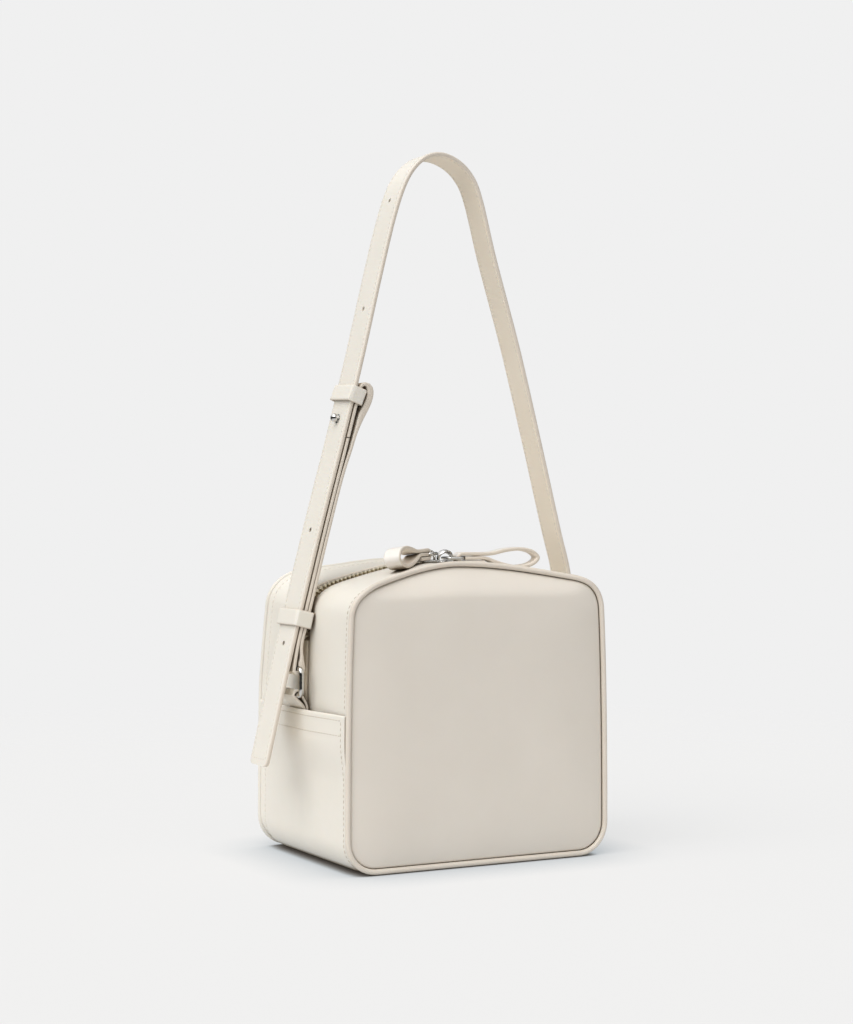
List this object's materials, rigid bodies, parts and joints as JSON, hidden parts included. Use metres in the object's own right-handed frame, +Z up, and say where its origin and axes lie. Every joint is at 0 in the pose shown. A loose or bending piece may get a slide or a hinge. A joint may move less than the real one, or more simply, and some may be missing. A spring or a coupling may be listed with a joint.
{
  "type": "box bag",
  "caption": "Box-shaped leather shoulder bag: piped crowned panels, zipped top with loop pulls, and one buckled strap that stands up in an arch.",
  "frame": {"origin": "middle of the flat underside, on the floor, midway between the two panels and midway across the bag's width", "axes": "+Z up, the front panel faces -Y, the strap's free tail hangs on the -X side"},
  "size_m": [0.2023, 0.1256, 0.4024],
  "materials": {
    "panel_leather": "smooth satin cream leather",
    "piping_leather": "smooth satin cream leather over a cord",
    "gusset_leather": "smooth satin cream leather",
    "strap_leather": "smooth satin cream leather with painted edges",
    "zip_tape": "woven beige tape",
    "zip_teeth": "old silver metal teeth",
    "polished_metal": "polished silver metal"
  },
  "bodies": {
    "root": {"front_panel": "panel_leather", "back_panel": "panel_leather", "front_piping": "piping_leather", "back_piping": "piping_leather", "base_gusset": "gusset_leather", "zip_gusset_front": "gusset_leather", "zip_gusset_back": "gusset_leather", "zip_tape": "zip_tape", "zip_teeth": "zip_teeth", "zip_slider_left": "polished_metal", "zip_slider_right": "polished_metal", "zip_link_left": "polished_metal", "zip_link_right": "polished_metal", "zip_pull_left": "strap_leather", "zip_pull_right": "strap_leather", "ring_left": "polished_metal", "ring_right": "polished_metal", "ring_tab_left": "strap_leather", "ring_tab_right": "strap_leather", "strap": "strap_leather", "strap_short": "strap_leather", "keeper_upper": "strap_leather", "keeper_lower": "strap_leather", "stud": "polished_metal"}
  },
  "joints": []
}
